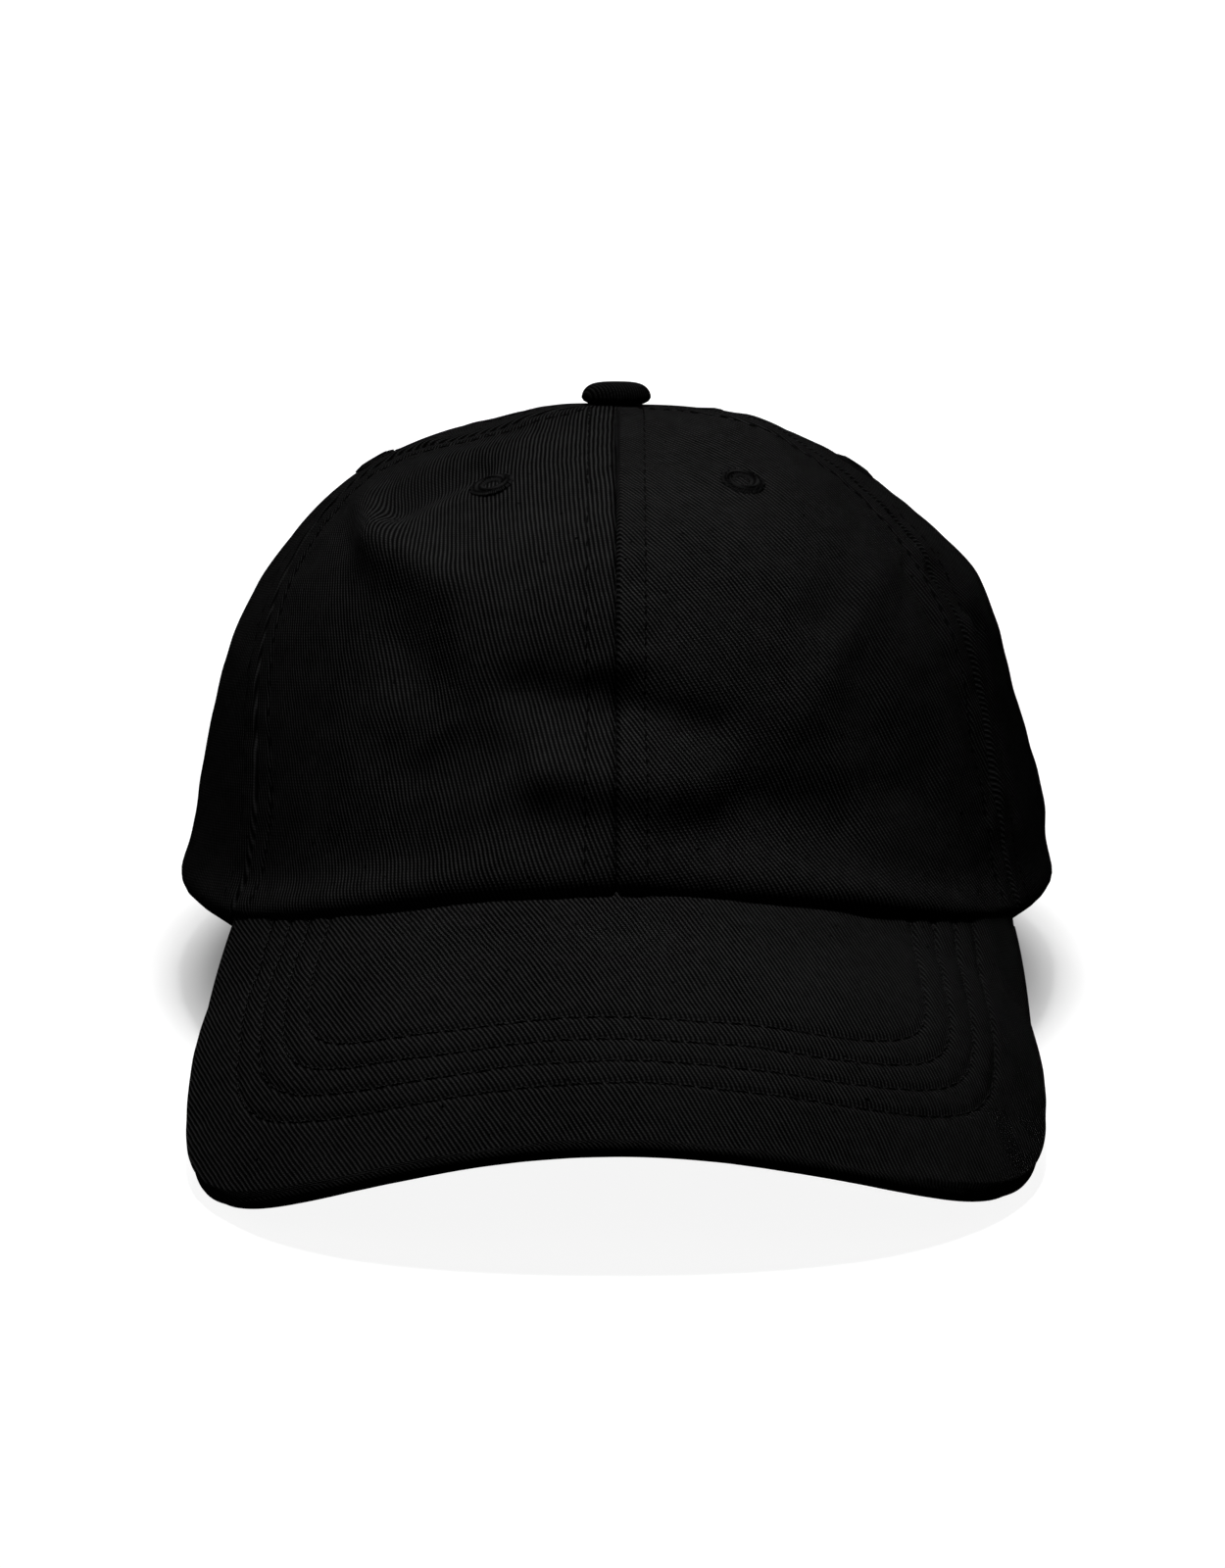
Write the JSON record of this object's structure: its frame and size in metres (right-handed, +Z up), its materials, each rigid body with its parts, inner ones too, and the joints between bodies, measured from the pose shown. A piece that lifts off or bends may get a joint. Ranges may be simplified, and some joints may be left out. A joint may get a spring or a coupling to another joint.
{
  "type": "baseball cap",
  "caption": "Soft cloth cap: a domed crown of sewn panels with vent eyelets and a top button, a curved stiff visor, an inner sweatband and a buckled strap across the back opening.",
  "frame": {"origin": "bottom centre of the cap's box as it stands on a table, on its visor tips and its rear hem", "axes": "+Z up from the table, -Y the way the visor points, +X the wearer's left"},
  "size_m": [0.188, 0.2546, 0.124],
  "materials": {
    "black_twill": "matt cotton twill",
    "black_thread": "slightly glossy embroidery thread",
    "black_tape": "matt woven tape",
    "sweatband_cloth": "matt brushed cotton",
    "label_cloth": "satin woven label, blank",
    "board_plastic": "matt moulded board",
    "antique_brass": "aged, satin",
    "button_steel": "plain pressed sheet"
  },
  "bodies": {
    "cap": {"front_panel_left": "black_twill", "front_panel_right": "black_twill", "side_panel_left": "black_twill", "side_panel_right": "black_twill", "back_panel_left": "black_twill", "back_panel_right": "black_twill", "front_eyelet_left": "black_thread", "front_eyelet_right": "black_thread", "side_eyelet_left": "black_thread", "side_eyelet_right": "black_thread", "back_eyelet_left": "black_thread", "back_eyelet_right": "black_thread", "centre_seam_tape": "black_tape", "front_tape_left": "black_tape", "front_tape_right": "black_tape", "rear_tape_left": "black_tape", "rear_tape_right": "black_tape", "arch_facing": "black_tape", "sweatband": "sweatband_cloth", "blank_label": "label_cloth", "button_cover": "black_twill", "button_core": "button_steel", "button_washer": "button_steel", "visor_top_cover": "black_twill", "visor_board": "board_plastic", "visor_under_cover": "black_twill", "buckle_tab": "black_twill", "buckle_frame": "antique_brass", "buckle_pin": "antique_brass"},
    "strap": {"back_strap": "black_twill"},
    "lever": {"buckle_lever": "antique_brass"}
  },
  "joints": [
    {"name": "strap_slide", "type": "hinge", "parent": "cap", "child": "strap", "pos_m": [0, 0.03417, 0.01579], "axis": [0, 0.1903, 0.9817], "range_deg": [-14, 14]},
    {"name": "lever_hinge", "type": "hinge", "parent": "cap", "child": "lever", "pos_m": [-0.00994, 0.12513, 0.01351], "axis": [-0.0373, 0.0263, -0.999], "range_deg": [0, 100]}
  ]
}
